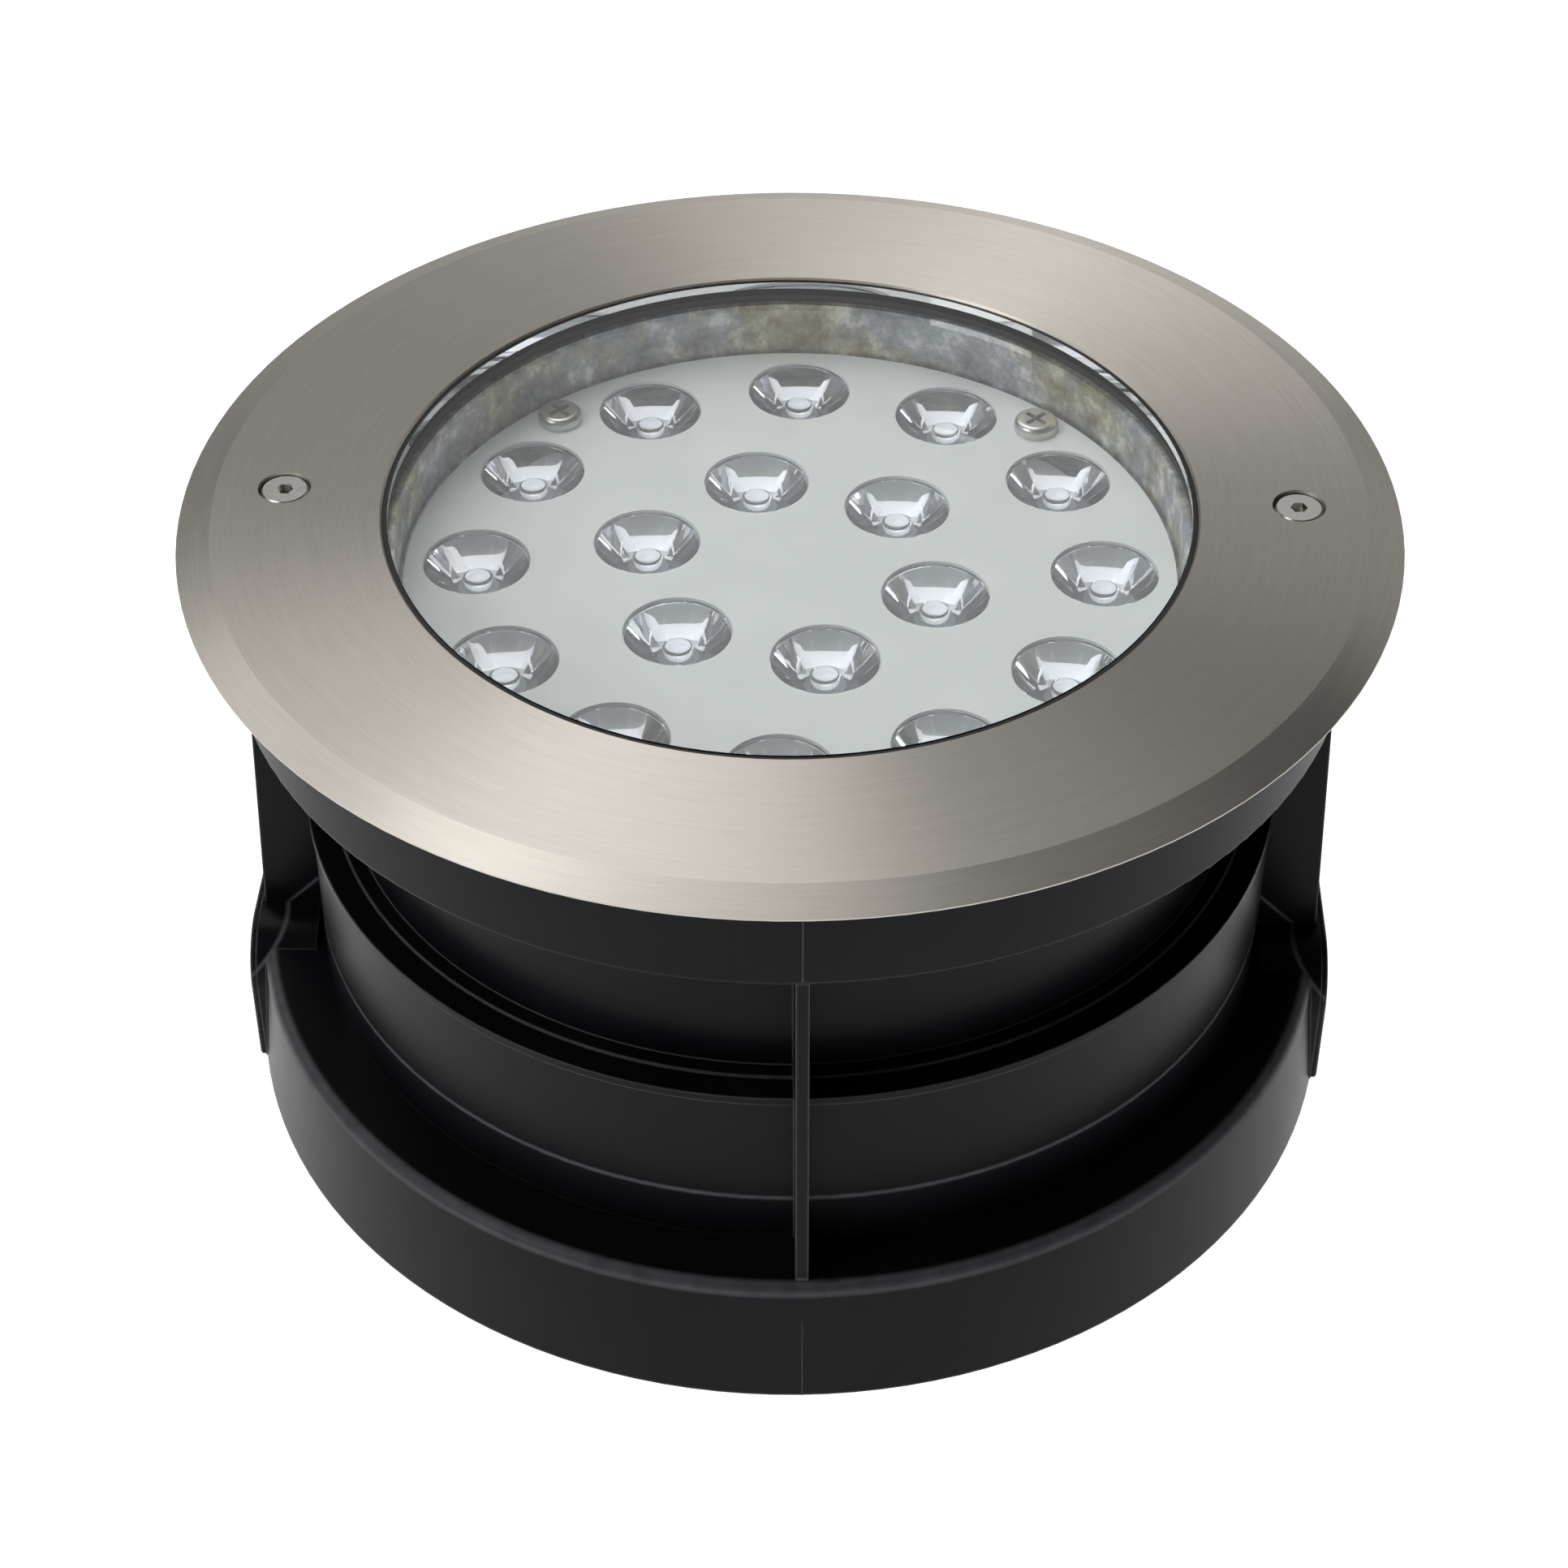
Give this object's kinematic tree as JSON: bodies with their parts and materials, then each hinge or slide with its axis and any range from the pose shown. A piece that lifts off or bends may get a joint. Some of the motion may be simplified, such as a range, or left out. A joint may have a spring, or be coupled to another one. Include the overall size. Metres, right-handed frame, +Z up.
{
  "type": "in-ground well light",
  "caption": "Round recessed ground uplight: steel trim ring, glass and collimated LEDs in a finned cast lamp that lifts out of a stepped plastic sleeve.",
  "frame": {"origin": "centre of the sleeve's underside, where it stands on its gravel bed", "axes": "+Z up through the glass; +X through the right trim screw and conduit entry; -Y to the front"},
  "size_m": [0.24, 0.24, 0.1333],
  "materials": {
    "sleeve_plastic": "satin black moulded plastic",
    "insert_brass": "knurled",
    "ring_steel": "brushed round the ring",
    "screw_steel": "bright stainless",
    "fastener_steel": "plain stainless",
    "seal_rubber": "matt silicone",
    "gland_plastic": "moulded nylon",
    "front_glass": "clear toughened",
    "cast_aluminium": "bare die casting",
    "pad_rubber": "soft grey pad",
    "board_white": "white solder mask",
    "emitter_phosphor": "phosphor and white ceramic",
    "plate_paint": "matt pale grey",
    "lens_acrylic": "clear polished",
    "bracket_aluminium": "folded sheet",
    "driver_case": "moulded case",
    "terminal_plastic": "moulded nylon",
    "lead_insulation": "soft insulation"
  },
  "bodies": {
    "sleeve": {"mounting_sleeve": "sleeve_plastic", "sleeve_base": "sleeve_plastic", "conduit_entry_left": "sleeve_plastic", "conduit_entry_right": "sleeve_plastic", "screw_inserts": "insert_brass"},
    "lamp": {"trim_ring": "ring_steel", "ring_studs": "fastener_steel", "screw_seals": "seal_rubber", "screw_retainers": "gland_plastic", "flange_washers": "fastener_steel", "flange_nuts": "fastener_steel", "front_glass": "front_glass", "glass_gasket": "seal_rubber", "lamp_body": "cast_aluminium", "thermal_pad": "pad_rubber", "led_board": "board_white", "led_emitters": "emitter_phosphor", "board_screws": "fastener_steel", "led_cover_plate": "plate_paint", "plate_standoffs": "fastener_steel", "plate_screws": "fastener_steel", "driver_bracket": "bracket_aluminium", "bracket_screws": "fastener_steel", "led_driver": "driver_case", "terminal_block": "terminal_plastic", "driver_leads": "lead_insulation", "bay_cover": "cast_aluminium", "cover_seal": "seal_rubber", "cover_screws": "fastener_steel", "gland_body": "gland_plastic", "gland_locknut": "gland_plastic", "gland_seal": "seal_rubber", "gland_nut": "gland_plastic", "vent_plug": "gland_plastic", "lens_outer_01": "lens_acrylic", "lens_outer_02": "lens_acrylic", "lens_outer_03": "lens_acrylic", "lens_outer_04": "lens_acrylic", "lens_outer_05": "lens_acrylic", "lens_outer_06": "lens_acrylic", "lens_outer_07": "lens_acrylic", "lens_outer_08": "lens_acrylic", "lens_outer_09": "lens_acrylic", "lens_outer_10": "lens_acrylic", "lens_outer_11": "lens_acrylic", "lens_outer_12": "lens_acrylic", "lens_inner_01": "lens_acrylic", "lens_inner_02": "lens_acrylic", "lens_inner_03": "lens_acrylic", "lens_inner_04": "lens_acrylic", "lens_inner_05": "lens_acrylic", "lens_inner_06": "lens_acrylic"},
    "trim_screw_left": {"trim_screw_left": "screw_steel"},
    "trim_screw_right": {"trim_screw_right": "screw_steel"}
  },
  "joints": [
    {"name": "lamp_lift", "type": "slide", "parent": "sleeve", "child": "lamp", "axis": [0, 0, 1], "range_m": [0, 0.11]},
    {"name": "trim_screw_left_turn", "type": "hinge", "parent": "lamp", "child": "trim_screw_left", "pos_m": [-0.0998, 0, 0.1229], "axis": [0, 0, 1], "continuous": true},
    {"name": "trim_screw_right_turn", "type": "hinge", "parent": "lamp", "child": "trim_screw_right", "pos_m": [0.0998, 0, 0.1229], "axis": [0, 0, 1], "continuous": true}
  ]
}
